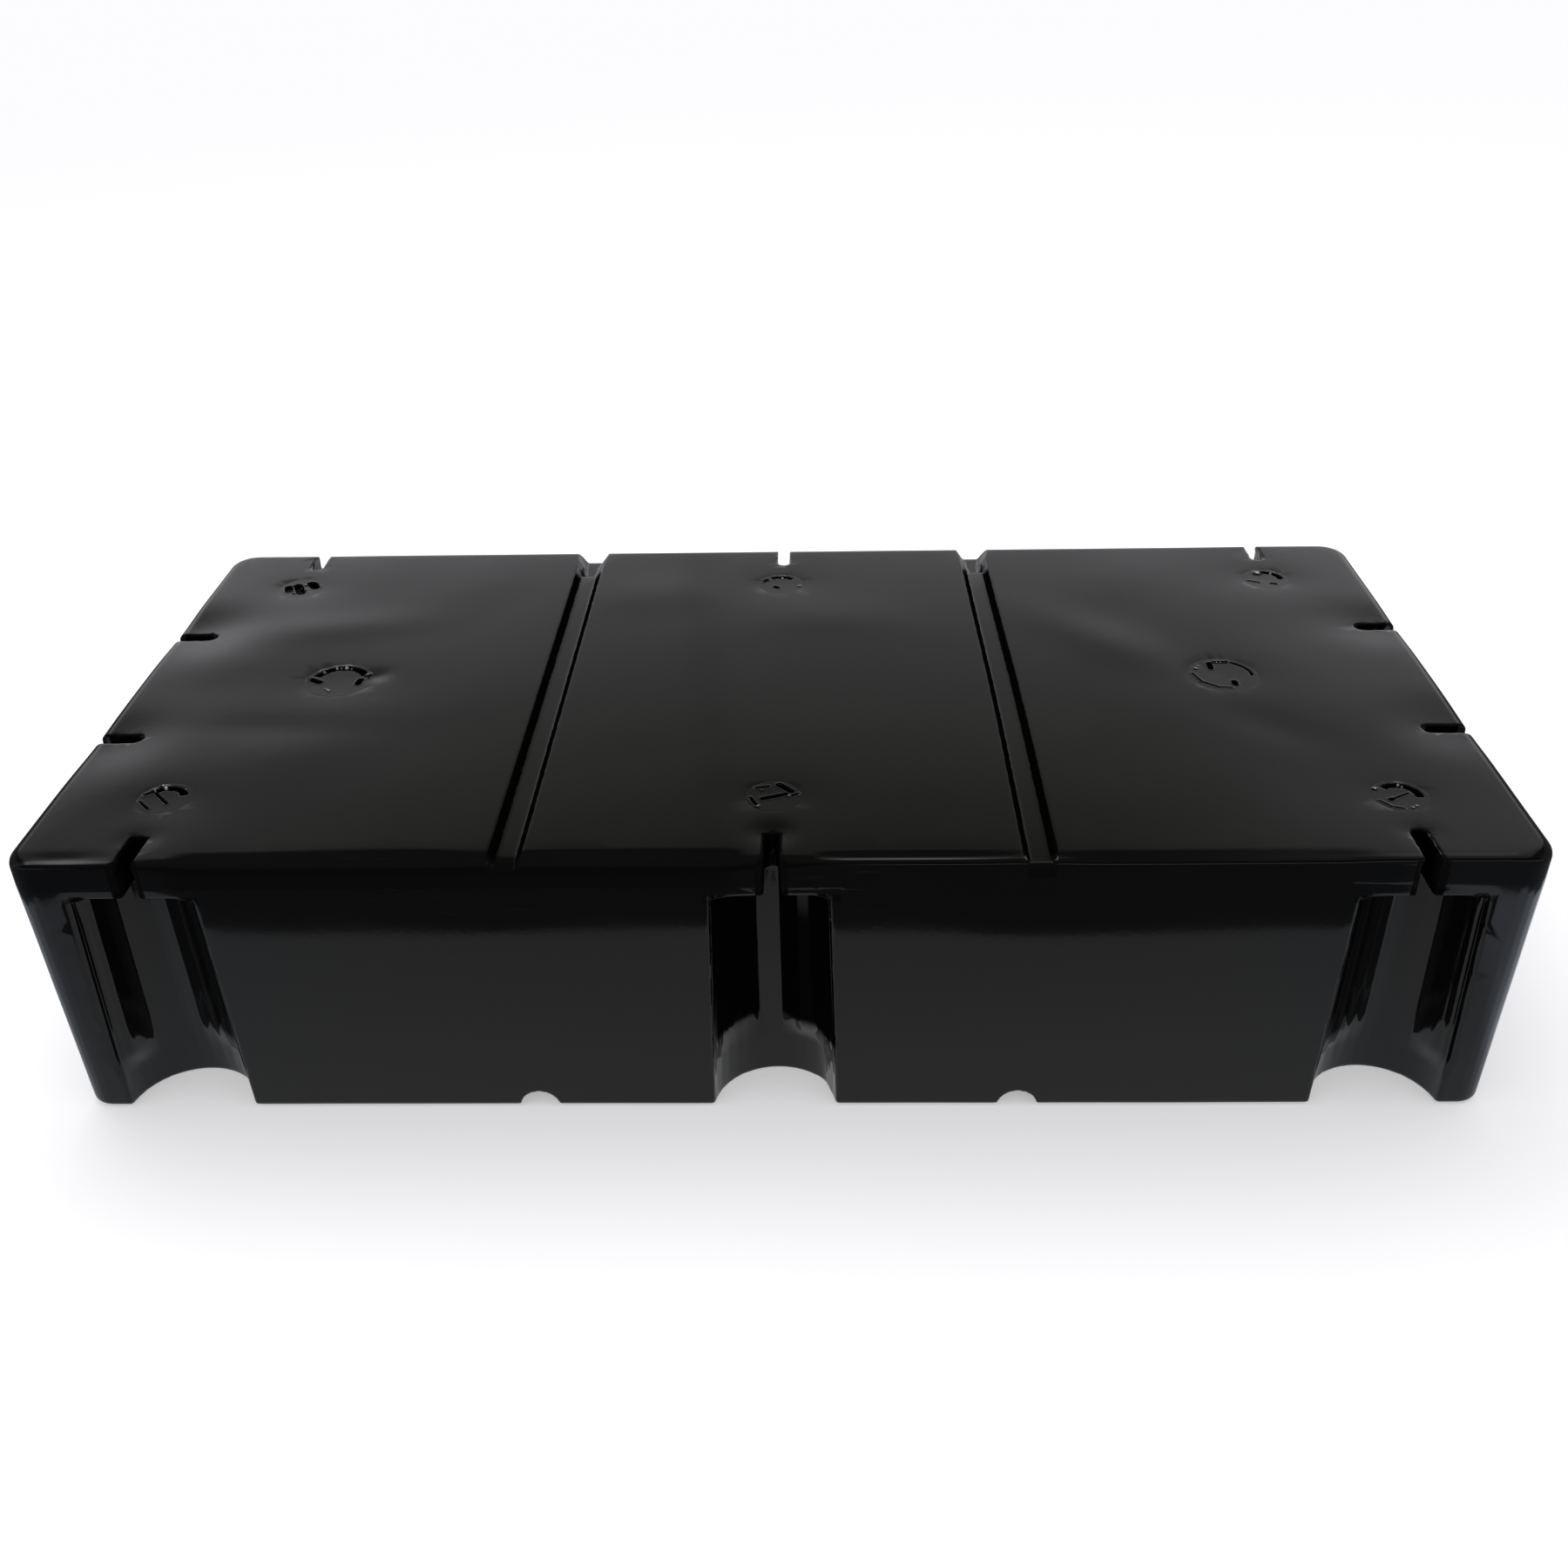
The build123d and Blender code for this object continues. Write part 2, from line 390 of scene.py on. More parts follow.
# The rim: its upright corners, and the rounding of the deck's outer edge with that rounding's centre.
RIM_CORNER_R, RIM_R = 28.0, 10.0
RIM_CENTRE_Y, RIM_CENTRE_Z = HALF_W - RIM_R, DECK_Z - RIM_R
# The moulding seam below the rim, and how far the wall under it stands in.
SEAM_Z, SEAM_STEP = 235.0, 0.5


def deck_lift(x, y):
    """Height of the deck's waves at each place, in millimetres."""
    lift = (0.10 + 0.22 * step_up(abs(x), 225, 330)) * ripple(x, y, 0 * x, 95.0, 3)
    for at, reach, turn, height in DECK_WAVES:
        lift += height * hump(x, y, at, reach, turn)
    return lift


def slot_edges():
    """The ten slots: the middle of each mouth, the way it points, and its pocket's two half sections."""
    places = [((-SLOT_X, -HALF_W), (0, -1), LIPPED_FLANK, EASY_FLANK),
              ((0.0, -HALF_W), (0, -1), BROAD_FLANK, STEEP_FLANK),
              ((SLOT_X, -HALF_W), (0, -1), EASY_FLANK, OPEN_FLANK)]
    places += [((k * SLOT_X, HALF_W), (0, 1), ROUND_FLANK, ROUND_FLANK) for k in (-1, 0, 1)]
    for k in (-SHORT_SIDE_Y, SHORT_SIDE_Y):
        places.append(((-HALF_L, k), (-1, 0), ROUND_FLANK, ROUND_FLANK))
        places.append(((HALF_L, k), (1, 0), ROUND_FLANK, ROUND_FLANK))
    return places


def shape_pockets(x, y, z):
    """Gives each pocket its flat strip below the slot and its uneven flanks; the foot stays half round."""
    for (mx, my), (dx, dy), low_side, high_side in slot_edges():
        along = (x - mx) * -dy + (y - my) * dx
        depth = -((x - mx) * dx + (y - my) * dy)
        grown = (POCKET_R + (ROOF_Z - np.clip(z, 0, ROOF_Z)) * math.tan(POCKET_DRAFT)) / POCKET_R
        offset = abs(along) / grown
        round_depth = np.sqrt(np.clip(POCKET_R ** 2 - offset ** 2, 0, None))
        wanted = np.where(along < 0,
                          np.interp(offset, [p[0] for p in low_side], [p[1] for p in low_side]),
                          np.interp(offset, [p[0] for p in high_side], [p[1] for p in high_side]))
        spread = np.hypot(along, depth) / (POCKET_R * grown)
        share = step_up(spread, 0.62, 0.97) * (1 - step_up(depth, 58, 70)) * (1 - step_up(offset, 54, 58))
        foot = 40.0 if mx == 0 else 29.0
        share = share * step_up(z, foot, foot + 28) * (1 - step_up(z, 219, 225))
        share = share * np.where((spread > 1.06) & (depth > 8), 0, 1)
        push = share * (wanted - round_depth)
        x = x - dx * push
        y = y - dy * push
    return x, y


def raise_roofs(x, y, z):
    """The front pockets' roofs stand a few millimetres higher than in the clean form."""
    for mx, height in ((-SLOT_X, 5.0), (0.0, 5.0), (SLOT_X, 1.5)):
        away = np.hypot(x - mx, y + HALF_W)
        z = z + height * step_up(z, 200, 219) * (1 - step_up(z, 223, 240)) * (1 - step_up(away, 53, 60))
    return z


def sharpen_front_edge(x, y, z):
    """Where the deck's front edge is crisp, its round edge is drawn out to a small radius."""
    back_y, up_z = -y - RIM_CENTRE_Y, z - RIM_CENTRE_Z
    reach = np.hypot(back_y, up_z)
    turn = np.arctan2(back_y, np.maximum(up_z, 1e-6))
    small = 3.0
    flat = RIM_R / np.maximum(np.cos(turn), np.sin(turn).clip(1e-6))
    centre = RIM_R - small
    toward = centre * (np.sin(turn) + np.cos(turn))
    corner = toward + np.sqrt(np.maximum(toward * toward - 2 * centre * centre + small * small, 0))
    in_corner = (corner * np.cos(turn) > centre) & (corner * np.sin(turn) > centre)
    wanted = np.where(in_corner, corner, flat) / RIM_R
    inside = (back_y > 0) & (up_z > 0) & (reach < RIM_R + 2)
    crisp = step_up(x, 8, 45) * (1 - 0.5 * step_up(x, 560, 600)) + step_up(-x, 470, 520)
    grow = 1 + (wanted - 1) * np.where(inside, crisp, 0)
    y = np.where(inside, -(RIM_CENTRE_Y + back_y * grow), y)
    z = np.where(inside, RIM_CENTRE_Z + up_z * grow, z)
    return y, z


def shape_skin(p):
    """Moves the skin's points, in millimetres, from the clean form to the one that left the mould."""
    x, y, z = p[:, 0], p[:, 1], p[:, 2]
    y, z = sharpen_front_edge(x, y, z)
    deck = step_up(z, 195, 250)
    # the deck's dips, crowns and faint waves
    z = z + deck * deck_lift(x, y)
    # the front edge rolls over early on the left, and dips behind a raised lip on the right
    left_roll = step_up(-x, 12, 46) * (1 - step_up(-x, 452, 480))
    left_roll = left_roll * (1 - 0.55 * hump(x, 0 * x, (-222, 0), (34, 9)))
    z = z - deck * left_roll * 2.4 * step_up(-y, 283 + 3 * ripple(x, 0 * y, 0 * z, 120.0, 4), 303)
    corner_dip = hump(x, y, (-562, -293), (30, 7))
    z = z - deck * corner_dip * 0.9
    right_roll = step_up(x, 26, 60) * (1 - step_up(x, 440, 480))
    right_roll = right_roll * (1 - 0.8 * hump(x, 0 * x, (205, 0), (30, 9)))
    far = step_up(x, 195, 245)
    lens = 0.55 + 0.4 * hump(x, 0 * x, (110, 0), (90, 9)) + 0.3 * hump(x, 0 * x, (330, 0), (90, 9))
    lens = (lens + 0.45 * far) * step_up(-y, 288, 297 + 7 * far)
    lip = (0.12 + 0.36 * hump(x, 0 * x, (100, 0), (85, 9))) * (1 - far) * step_up(-y, 298, 302)
    z = z - deck * right_roll * (lens - lip)
    # the channels' walls on the middle's side stand steeper than the others
    across = CHANNEL_X - abs(x)
    inner = across - 11.0
    x = x + deck * np.sign(x) * 0.6 * inner * np.exp(-(inner / 3.0) ** 2) * (1 - step_up(y, 236, 250))
    # at the back each channel's floor drops by a step, then runs level to the edge
    in_mouth = (abs(across) < 24) & (z > 236) & (y > 243)
    cut = np.maximum(6.0, 3.0 + 11.0 * (y - 243) / 63)
    wanted = 6.0 + 8.2 * step_up(y, 248, 258)
    deepened = 1 + (wanted / cut - 1) * (1 - step_up(z, 257.5, DECK_Z))
    z = np.where(in_mouth, DECK_Z - (DECK_Z - z) * deepened, z)
    # the right channel drifts inwards towards the back edge
    x = x - deck * 5.0 * step_up(y, -120, 330) * hump(x, 0 * x, (212, 0), (42, 9))
    # walls: slight bows on the long sides, waves on all of them
    front = step_up(-y, 283, 296) * (1 - step_up(z, 225, 240))
    back = step_up(y, 283, 296) * (1 - step_up(z, 225, 240))
    ends = step_up(abs(x), 588, 601) * (1 - step_up(z, 225, 240))
    bow = 0.25 * ripple(x, z, 0 * z, 90.0, 5)
    for at, reach, height in WALL_BOWS:
        bow = bow + height * hump(x, z, at, reach)
    y = y - (front - back) * bow
    end_bow = 0.4 * hump(y, z, (0, 110), (60, 90)) + 0.25 * ripple(y, z, 0 * z, 80.0, 8)
    x = x + ends * np.sign(x) * end_bow
    # the thin ridges of flash on the front
    for first, last, up in FLASH_LINES:
        span = step_up(x, first - 3, first + 3) * (1 - step_up(x, last - 3, last + 3))
        from_ridge = z - up - 0.6 * ripple(x, 0 * y, 0 * z, 40.0, 9)
        proud = 0.22 + 0.2 * step_up(x, 300, 400)
        y = y - span * proud * step_up(-y, 290, 300) * np.exp(-from_ridge ** 2)
    x, y = shape_pockets(x, y, z)
    # the middle pocket's right edge stands a little further in
    right_edge = step_up(x, 33, 47) * (1 - step_up(x, 56, 84))
    x = x - 4.0 * right_edge * step_up(-y, 262, 285) * (1 - step_up(z, ROOF_Z, ROOF_Z + 10))
    z = raise_roofs(x, y, z)
    # torn edges round the slots at the deck
    for (mx, my), (dx, dy), low_side, high_side in slot_edges():
        along = (x - mx) * -dy + (y - my) * dx
        depth = -((x - mx) * dx + (y - my) * dy)
        from_slot = np.hypot(along, np.maximum(depth - SLOT_END, 0))
        rim = step_up(from_slot, 5.0, 6.0) * (1 - step_up(from_slot, 6.8, 9.5)) * step_up(z, 236, 246)
        x = x + rim * 0.7 * ripple(x, y, z, 7.0, 11)
        y = y + rim * 0.7 * ripple(x, y, z, 6.0, 12)
        z = z + rim * step_up(z, 255, 259) * 0.25 * ripple(x, y, z, 5.0, 13)
    return np.stack((x, y, z), 1)


def rim_gap(p):
    """Distance inside the rim's outline, seen from above, in millimetres."""
    corner = RIM_CORNER_R
    qx = abs(p[:, 0]) - (HALF_L - corner)
    qy = abs(p[:, 1]) - (HALF_W - corner)
    outside = np.hypot(np.maximum(qx, 0), np.maximum(qy, 0)) + np.minimum(np.maximum(qx, qy), 0)
    return corner - outside


def make_float_body():
    """The moulded skin: the CAD body's mesh made even and fine, then shaped point by point."""
    body = copy_node("float_body", "float_skin")
    # the wall's top comes flush with the rim
    p = points_of(body) / MM
    gap = rim_gap(p)
    wall = (p[:, 2] < SEAM_Z + 0.05) & (gap > 0.25) & (gap < 12)
    gain = np.where(wall, SEAM_STEP * np.clip(p[:, 2] / SEAM_Z, 0, 1), 0)
    along_x = np.maximum(abs(p[:, 0]) - (HALF_L - RIM_CORNER_R), 0)
    along_y = np.maximum(abs(p[:, 1]) - (HALF_W - RIM_CORNER_R), 0)
    size = np.maximum(np.hypot(along_x, along_y), 1e-6)
    p[:, 0] += np.sign(p[:, 0]) * gain * along_x / size
    p[:, 1] += np.sign(p[:, 1]) * gain * along_y / size
    put_points(body, p * MM)
    apply_modifier(body, "REMESH", mode="VOXEL", voxel_size=SKIN_VOXEL, adaptivity=0.0,
                   use_smooth_shade=True)
    apply_modifier(body, "SMOOTH", factor=0.5, iterations=1)
    put_points(body, shape_skin(points_of(body) / MM) * MM)
    triangles = sum(len(f.vertices) - 2 for f in body.data.polygons)
    if triangles > SKIN_TRIANGLES:
        apply_modifier(body, "DECIMATE", decimate_type="COLLAPSE", ratio=SKIN_TRIANGLES / triangles)
    print("skin triangles", triangles, len(body.data.polygons))
    select_only(body)
    bpy.ops.object.shade_smooth()
    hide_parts("float_body")
    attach(body, "root")
    return body


# The welded plugs

# What the weld left on each plug's top, which stands level with the deck. A trench: from and to which way,
# inner and outer edge short of the plug's radius, depth. A cut: from, to, width, depth. A bead, a raised
# drop of torn plastic: place, radius, height over what lies under it, how pale it is painted, as whitened
# plastic and painted glint together.
PLUGS = {
    "vent_plug_front_left": {
        "trench": (22, 138, 7.8, 1.6, 4.8),
        "cuts": [((-11.5, 9), (4.5, -8), 1.7, 2.6), ((-20, -4.5), (-8.5, -16), 1.6, 2.4),
                 ((-18, 6), (-11, 11), 4.6, 1.0)],
        "beads": [((-5, 17), 2.0, 5.4, 1.0), ((-8, 19.5), 1.4, 5.0, 0.8), ((-13, 13), 1.6, 4.6, 0.4),
                  ((13, 13), 1.0, 0.6, 0.1)]},
    "vent_plug_front_middle": {
        "trench": (54, 62, 4.0, 1.0, 3.0),
        "cuts": [((-9, -3.5), (10, 3), 4.2, 4.4), ((4.5, 17.5), (14.5, 7.5), 5.2, 4.8),
                 ((-19.5, -2), (-14, -13), 2.2, 3.0), ((-15, 13), (-5, 15), 3.0, 1.3),
                 ((15.5, 0), (20.5, 3.5), 2.6, 1.1)],
        "beads": [((-13, -15), 1.5, 0.9, 0.3), ((12.5, 0.8), 1.3, 0.8, 0.4), ((-10, 10), 1.6, 0.3, 0.05)]},
    "vent_plug_front_right": {
        "trench": (-6, 126, 7.6, 1.0, 4.6),
        "cuts": [((-9.5, -6), (-7, -5), 3.6, 2.2), ((-7, -5), (8, 3.5), 1.6, 0.9),
                 ((-19, -7), (-12, -16.5), 1.5, 1.2), ((-12, -16.5), (-3, -20), 1.8, 1.4)],
        "beads": [((4.0, 17.5), 1.8, 4.8, 0.5), ((6.5, 15), 1.5, 4.6, 0.4), ((-17, 11), 1.6, 1.6, 0.9),
                  ((5, -18.5), 1.2, 0.7, 0.6), ((8.8, -16), 1.2, 0.7, 0.6)]},
    "vent_plug_back_left": {
        "trench": (36, 60, 5.0, 1.0, 2.8),
        "cuts": [((-14.5, 3), (-12, -6), 8.0, 2.2), ((-6, 7), (2, -10), 9.0, 3.0),
                 ((7, 12), (14, 3), 9.0, 3.4)],
        "beads": [((3, 9), 1.5, 3.6, 0.5), ((-9, 1), 1.5, 2.6, 0.25), ((4, -3), 1.3, 2.6, 0.2),
                  ((-5, -12), 1.2, 2.0, 0.3), ((-8, -7), 1.2, 2.0, 0.2), ((-1, 3), 1.1, 2.4, 0.15)]},
    "vent_plug_back_middle": {
        "trench": (48, 124, 6.6, 1.4, 4.2),
        "cuts": [((-6, -7), (-3, -10), 4.0, 3.0), ((-19, 6), (-15, 10), 4.6, 2.6)],
        "beads": [((1.5, 16.5), 2.0, 4.4, 1.0), ((20, -6), 1.6, 0.8, 0.6)]},
    "vent_plug_back_right": {
        "trench": (2, 92, 7.0, 1.0, 4.2),
        "cuts": [((4, -10), (8, -12), 2.8, 2.4), ((-19, -3), (-8, -8), 1.6, 0.8)],
        "beads": [((-5, 15), 3.2, 1.8, 1.0), ((9, 15.5), 2.2, 4.0, 0.5)]},
    "fill_plug_left": {
        "trench": (28, 158, 8.8, 1.2, 5.0),
        "cuts": [((-28, 2), (-18.5, -3.5), 6.0, 4.2), ((19, -7), (20, 1), 5.4, 3.8),
                 ((24, 10), (27, 4), 1.4, 0.8)],
        "beads": [((-9, 25.5), 1.9, 5.0, 0.6), ((-5, 26), 1.4, 4.8, 0.5), ((0, 26.5), 2.8, 5.4, 0.6),
                  ((5, 25.5), 1.5, 4.6, 0.4), ((-19, 18), 2.6, 5.2, 0.35), ((24, 12), 2.4, 4.4, 0.4),
                  ((-9, -17), 0.9, 0.7, 0.7), ((-7, -19), 1.1, 0.8, 0.9), ((-5, -21), 1.2, 0.8, 1.0)]},
    "fill_plug_right": {
        "trench": (-2, 62, 4.0, 1.0, 3.0),
        "cuts": [((-8.5, 13), (-8, 23), 4.6, 3.8), ((7.5, -19), (7.5, -14), 5.2, 3.8),
                 ((-28, 3), (-22.5, -13), 1.6, 1.5), ((-22.5, -13), (-9, -23.5), 1.6, 1.5),
                 ((-9, -23.5), (3, -25.5), 1.3, 1.0), ((-4, 26), (9, 26), 3.0, 2.6)],
        "beads": [((-3.5, 25.5), 1.3, 2.8, 0.6), ((0, 26), 1.3, 2.8, 0.7), ((3.5, 26), 1.3, 2.8, 0.6),
                  ((7, 25.5), 1.3, 2.4, 0.4), ((-22, 13), 1.6, 0.8, 0.6), ((-19.5, 17.5), 1.1, 0.7, 0.4)]},
}
SKIRT = 4.6     # the weld spreads this far over the seat's lip


def plug_place(name):
    """A plug's centre and radius from its CAD node, in millimetres."""
    low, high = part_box(name)
    return (low[0] + high[0]) / 2 / MM, (low[1] + high[1]) / 2 / MM, (high[0] - low[0]) / 2 / MM


def from_line(u, v, start, end):
    """Distance of each point from a stroke between two points."""
    ax, ay = end[0] - start[0], end[1] - start[1]
    t = np.clip(((u - start[0]) * ax + (v - start[1]) * ay) / (ax * ax + ay * ay), 0, 1)
    return np.hypot(u - start[0] - t * ax, v - start[1] - t * ay)


def plug_relief(u, v, r, plug):
    """Height of a plug's top against the deck, in millimetres, at places measured from its centre."""
    out = np.hypot(u, v)
    turn = np.degrees(np.arctan2(v, u))
    rough = 0.4 * ripple(u, v, 0 * u, 6.0, 21)
    start, end, inner, outer, depth = plug["trench"]
    away = abs((turn - (start + end) / 2 + 180) % 360 - 180)
    open_side = 1 - step_up(away + 4 * rough, (end - start) / 2 - 4, (end - start) / 2 + 5)
    inside_edge = step_up(out + rough, r - inner, r - inner + 0.9)
    outside_edge = 1 - step_up(out + 0.6 * rough, r - outer - 0.5, r - outer + 0.3)
    top = 0.03 + 0.015 * ripple(u, v, 0 * u, 12.0, 22) - depth * open_side * (inside_edge * outside_edge)
    for start, end, wide, depth in plug["cuts"]:
        gap = from_line(u, v, start, end) + 0.35 * rough
        top = top - depth * (1 - step_up(gap, wide / 2 - 0.5, wide / 2 + 0.4))
        top = top + 0.14 * np.exp(-((gap - wide / 2 - 0.9) / 0.6) ** 2)
    for at, size, height, pale in plug["beads"]:
        top = top + height * np.exp(-((u - at[0]) ** 2 + (v - at[1]) ** 2) / size ** 2)
    return np.clip(top, -5.5, 0.8) - 0.14 * step_up(out, r + 2.4, r + SKIRT)


def make_plug(name, plug):
    """One welded plug: a disc whose top carries the trench, the cuts and the drops left by welding."""
    cx, cy, r = plug_place(name)
    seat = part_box(name)[0][2]
    cells = round(r * 4.4)
    bpy.ops.object.select_all(action="DESELECT")
    bpy.ops.mesh.primitive_grid_add(x_subdivisions=cells, y_subdivisions=cells, size=2, location=(0, 0, 0))
    piece = bpy.context.object
    piece.name = name.replace("plug", "disc")
    p = points_of(piece)
    u = p[:, 0] * np.sqrt(1 - p[:, 1] ** 2 / 2) * (r + SKIRT)
    v = p[:, 1] * np.sqrt(1 - p[:, 0] ** 2 / 2) * (r + SKIRT)
    waves = deck_lift(u + cx, v + cy)
    put_points(piece, np.stack((u + cx, v + cy, DECK_Z + plug_relief(u, v, r, plug) + waves), 1) * MM)
    bpy.ops.object.mode_set(mode="EDIT")
    bpy.ops.mesh.select_all(action="DESELECT")
    bpy.ops.mesh.select_non_manifold()
    bpy.ops.mesh.extrude_edges_move(TRANSFORM_OT_translate={"value": (0, 0, -0.0003)})
    bpy.ops.mesh.extrude_edges_move(TRANSFORM_OT_translate={"value": (0, 0, -0.0001)})
    inwards = (r - 0.3) / (r + SKIRT)
    bpy.ops.transform.resize(value=(inwards, inwards, 1), center_override=(cx * MM, cy * MM, seat))
    bpy.ops.mesh.extrude_edges_move(TRANSFORM_OT_translate={"value": (0, 0, -0.0005)})
    bpy.ops.transform.resize(value=(1, 1, 0), center_override=(0, 0, seat))
    bpy.ops.mesh.edge_face_add()
    bpy.ops.mesh.select_all(action="SELECT")
    bpy.ops.mesh.normals_make_consistent(inside=False)
    bpy.ops.object.mode_set(mode="OBJECT")
    select_only(piece)
    bpy.ops.object.shade_smooth_by_angle(angle=math.radians(50))
    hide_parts(name)
    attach(piece, "root")
    return piece


# Paints
def band(value, low, high, soft):
    """1 between two values of a wire, falling to 0 outside over a short distance."""
    return value.ramp_between(low - soft, low + soft) * (1 - value.ramp_between(high - soft, high + soft))


def painted_shade_places(bench, place, rag):
    """Near 1 where painted shade, a matt near-black without gloss, is laid on: slots, channels, pockets
    and the left rim.
    """
    across = bench.axis(place, "X")
    along = bench.axis(place, "Y")
    up = bench.axis(place, "Z")
    front = -1.0 * along
    from_slot = bench.node("Math", {"operation": "PINGPONG"}, 0, _0=abs(across), _1=SLOT_X * MM / 2)
    flare = front.ramp_between(0.296, 0.304) * 0.0045
    right = across.ramp_between(0.3, 0.35)
    roof_up = up + right * 0.0035 - 0.005
    slots = (1 - (from_slot - flare).ramp_between(0.0078, 0.0092)) * \
        roof_up.ramp_between(0.2215, 0.2225) * front.ramp_between(0.2600, 0.2630) * \
        (1 - right * up.ramp_between(0.2575, 0.2590)) * 0.95
    drift = across.ramp_between(0.1, 0.15) * along.ramp_between(-0.12, 0.33) * 0.005
    from_channel = abs(abs(across) + drift - CHANNEL_X * MM) + (rag - 0.5) * 0.0012
    channels = band(from_channel, 0.0078, 0.0138, 0.0004) * (1 - along.ramp_between(0.240, 0.256)) * \
        (1 - front.ramp_between(0.2955, 0.2995)) * up.ramp_between(0.245, 0.250)
    ends = (1 - from_channel.ramp_between(0.0100, 0.0125)) * front.ramp_between(0.2925, 0.2950) * \
        band(up, 0.2440, 0.2575, 0.0008) * 0.85
    roofs = band(roof_up, 0.2165, 0.2235, 0.0008) * front.ramp_between(0.2700, 0.2720) * \
        (1 - from_slot.ramp_between(0.0520, 0.0560)) * 0.55
    flank = band(across, -0.0495, -0.0150, 0.0008) + band(across, 0.0045, 0.0495, 0.0008)
    facet = band(across, 0.0190, 0.0280, 0.0012) * up.ramp_between(0.175, 0.205) * 0.55
    middle = flank * (1 - facet) * band(roof_up, 0.062, 0.221, 0.004) * \
        (1 - front.ramp_between(0.3005, 0.3015)) * front.ramp_between(0.245, 0.248) * 0.97
    inner = band(abs(across), 0.4620, 0.4890, 0.0015) * band(roof_up, 0.050, 0.221, 0.006) * \
        (1 - front.ramp_between(0.2985, 0.3005)) * 0.55
    left_roll = band(across, -0.478, -0.030, 0.01) * band(up, 0.2370, 0.2535, 0.001) * \
        front.ramp_between(0.295, 0.299) * 0.72
    painted_shade = slots
    for part in (channels, ends, roofs, middle, inner, left_roll):
        painted_shade = painted_shade.larger(part)
    return painted_shade


def shade(base, strength):
    """A colour made darker or lighter."""
    return tuple(strength * c for c in base) + (1,)


def black_polyethylene(name, base, rough):
    """Glossy black plastic: cloudy tone, uneven gloss, fine scratches, and painted shade, a matt
    near-black, over the slots, channels, pockets and left rim.
    """
    paint = bpy.data.materials.new(name)
    paint.use_nodes = True
    bench = Bench(paint.node_tree)
    place = bench.node("TexCoord", None, "Object")
    cloud = bench.grain(place, 9.0, 4.0)
    fine = bench.grain(place, 240.0, 3.0)
    strokes = bench.node("Mapping", None, 0, Vector=place, Rotation=(0, 0, 0.5), Scale=(30, 900, 400))
    patches = bench.grain(place, 5.0, 2.0).ramp_between(0.52, 0.62)
    scratch = bench.grain(strokes, 1.0, 2.0).ramp_between(0.68, 0.74) * patches
    tone = bench.blend(cloud, shade(base, 0.7), shade(base, 1.35))
    tone = bench.blend(scratch * 0.10, tone, (0.03, 0.03, 0.032, 1))
    gloss = rough + (cloud - 0.5) * 0.06 + (fine - 0.5) * 0.03 + scratch * 0.08
    relief = bench.node("Bump", None, 0, Strength=0.05, Distance=0.0004, Height=fine)
    plastic = bench.node("BsdfPrincipled", None, 0, Base_Color=tone, Roughness=gloss, IOR=1.5,
                         Normal=relief)
    # painted shade: a matt near-black tone, a little lighter on the rim's front roll
    rim = bench.axis(place, "Z").ramp_between(0.2300, 0.2350)
    roll = rim * (-1.0 * bench.axis(place, "Y")).ramp_between(0.2900, 0.2920)
    painted_shade_tone = bench.blend(roll, (0.0011, 0.0011, 0.0012, 1), (0.0030, 0.0030, 0.0031, 1))
    painted_shade = bench.node("BsdfPrincipled", None, 0, Base_Color=painted_shade_tone, Roughness=1.0, Specular_IOR_Level=0.0)
    # where the painted shade lies, it takes the place of the glossy plastic
    painted_shade_share = painted_shade_places(bench, place, bench.grain(place, 120.0, 2.0))
    bench.show("Material", bench.node("MixShader", None, 0, _0=painted_shade_share, _1=plastic, _2=painted_shade))
    return paint


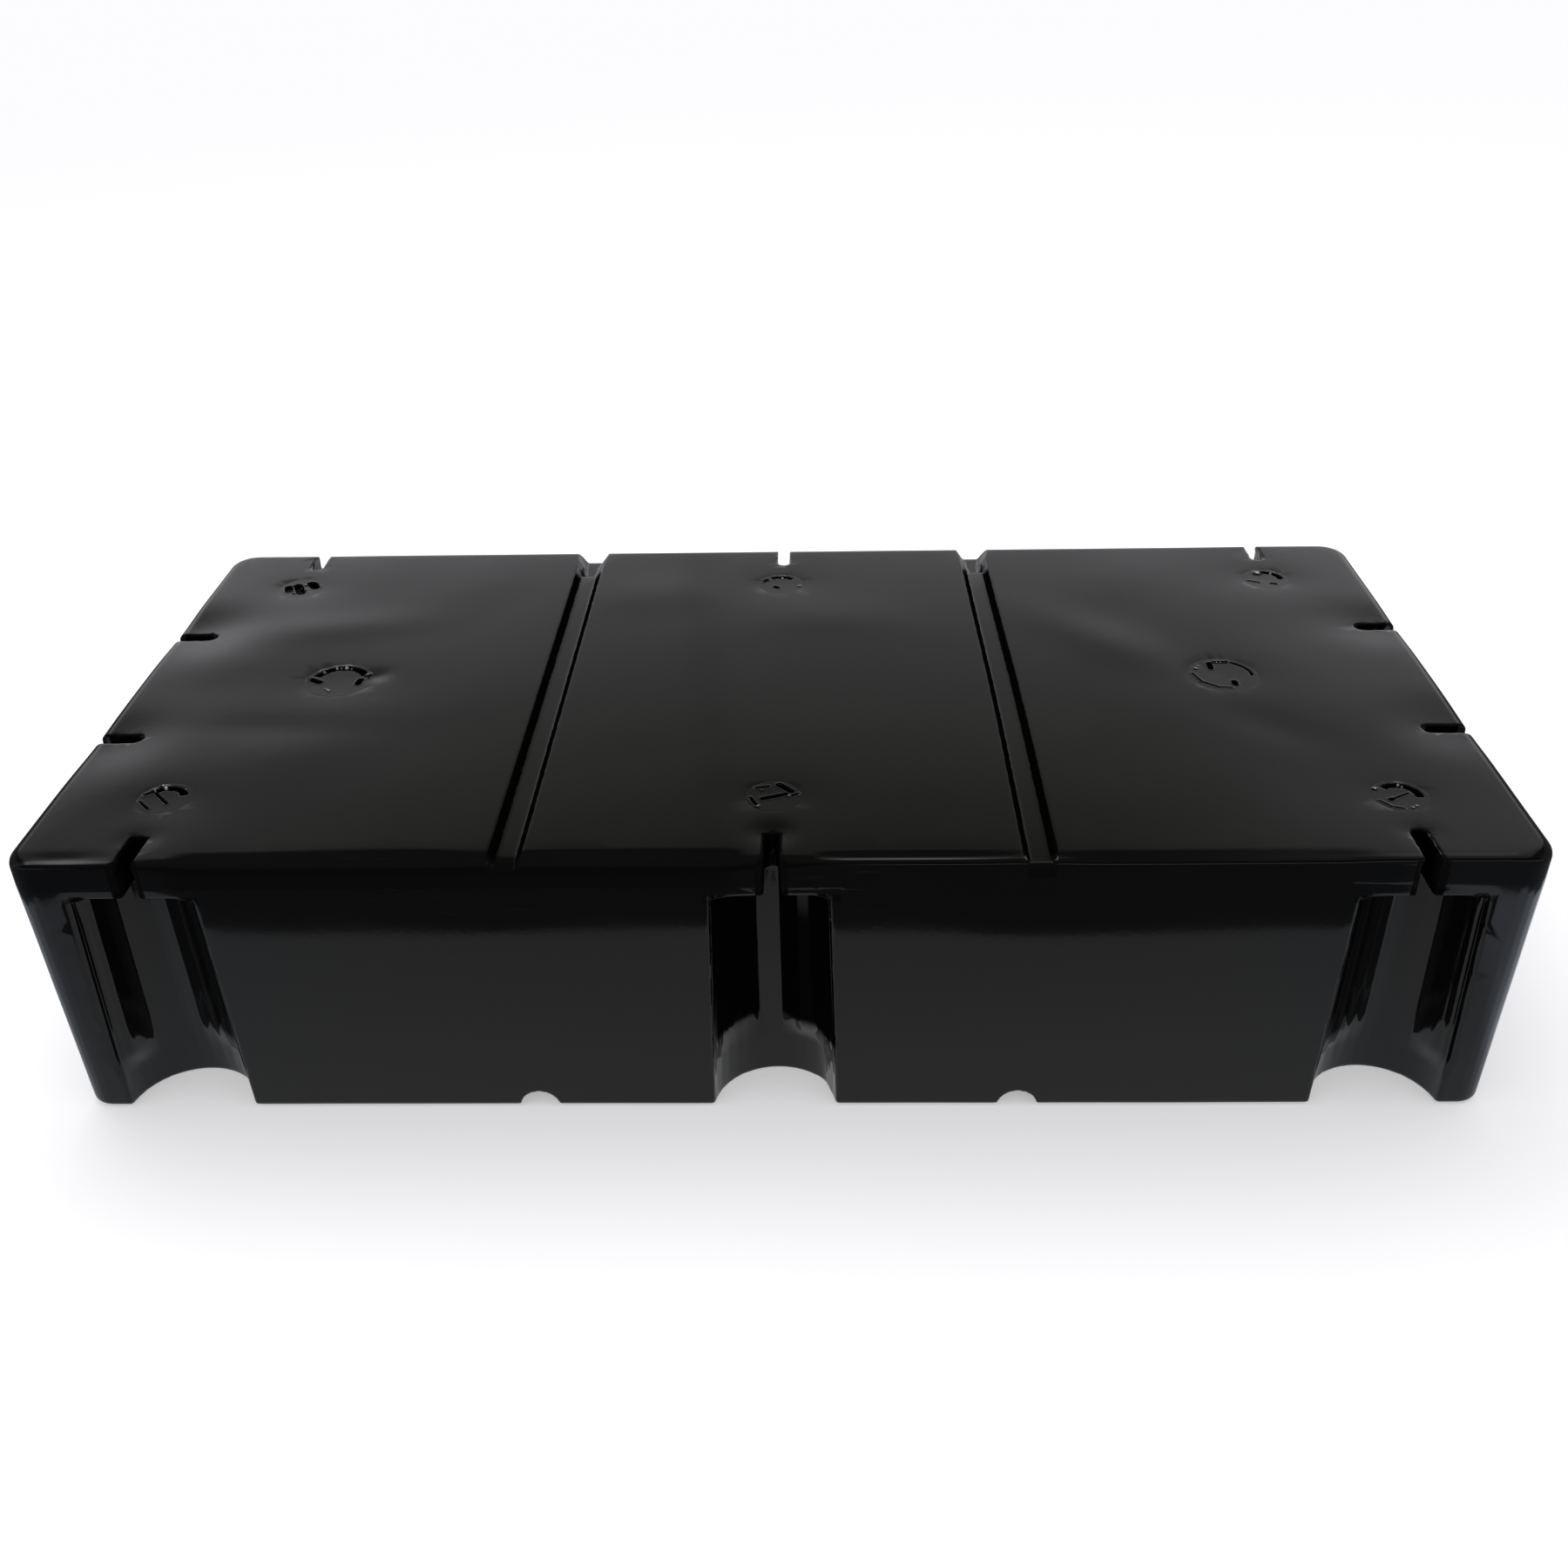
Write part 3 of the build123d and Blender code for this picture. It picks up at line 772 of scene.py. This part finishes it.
def plug_polyethylene(name, beads, centre, base, rough):
    """The plugs' plastic: as the skin's, whitened and painted with glints where drops of weld were torn,
    and matt near-black as painted shade where it lies sunk.
    """
    paint = bpy.data.materials.new(name)
    paint.use_nodes = True
    bench = Bench(paint.node_tree)
    place = bench.node("TexCoord", None, "Object")
    cloud = bench.grain(place, 60.0, 4.0)
    fine = bench.grain(place, 500.0, 3.0)
    flat = bench.node("VectorMath", {"operation": "MULTIPLY"}, 0, _0=place, _1=(1, 1, 0))
    # painted shade in the trenches and cuts: below the deck's level the top turns matt near-black
    sunk = 1 - bench.axis(place, "Z").ramp_between(0.2576, 0.2585)
    # whitened torn drops of weld, painted pale together with painted glints on them
    torn_and_glint = 0.0
    for at, size, height, pale in beads:
        spot = bench.node("VectorMath", {"operation": "DISTANCE"}, 1, _0=flat,
                          _1=((centre[0] + at[0]) * MM, (centre[1] + at[1]) * MM, 0))
        torn_and_glint = (1 - spot.ramp_between(0.35 * size * MM, 0.85 * size * MM)) * pale + torn_and_glint
    torn_and_glint = torn_and_glint.smaller(1.0) * (0.6 + 0.4 * fine.ramp_between(0.35, 0.6))
    tone = bench.blend(cloud, shade(base, 0.7), shade(base, 1.35))
    tone = bench.blend(torn_and_glint, tone, (0.50, 0.50, 0.51, 1))
    gloss = rough + (cloud - 0.5) * 0.10 + torn_and_glint * 0.2
    relief = bench.node("Bump", None, 0, Strength=0.08, Distance=0.0004, Height=fine)
    plastic = bench.node("BsdfPrincipled", None, 0, Base_Color=tone, Roughness=gloss, IOR=1.5,
                         Normal=relief)
    # the painted shade: a matt near-black diffuse
    painted_shade = bench.node("BsdfDiffuse", None, 0, Color=(0.0010, 0.0010, 0.0011, 1))
    painted_shade_share = sunk * (1 - torn_and_glint) * 0.92
    bench.show("Material", bench.node("MixShader", None, 0, _0=painted_shade_share, _1=plastic, _2=painted_shade))
    return paint


bpy.context.scene.view_settings.view_transform = "Standard"
set_camera()
studio_light()
lay_floor()
hang_softbox()

BLACK = (0.0010, 0.0010, 0.0011)
make_float_body().data.materials.append(black_polyethylene("black_skin", BLACK, 0.085))
for name, plug in PLUGS.items():
    paint = plug_polyethylene("black_" + name, plug["beads"], plug_place(name), BLACK, 0.15)
    make_plug(name, plug).data.materials.append(paint)

for o in bpy.context.scene.objects:
    if o.type == "MESH" and not o.hide_render and o.name != "studio_floor":
        print("piece", o.name, len(o.data.vertices))
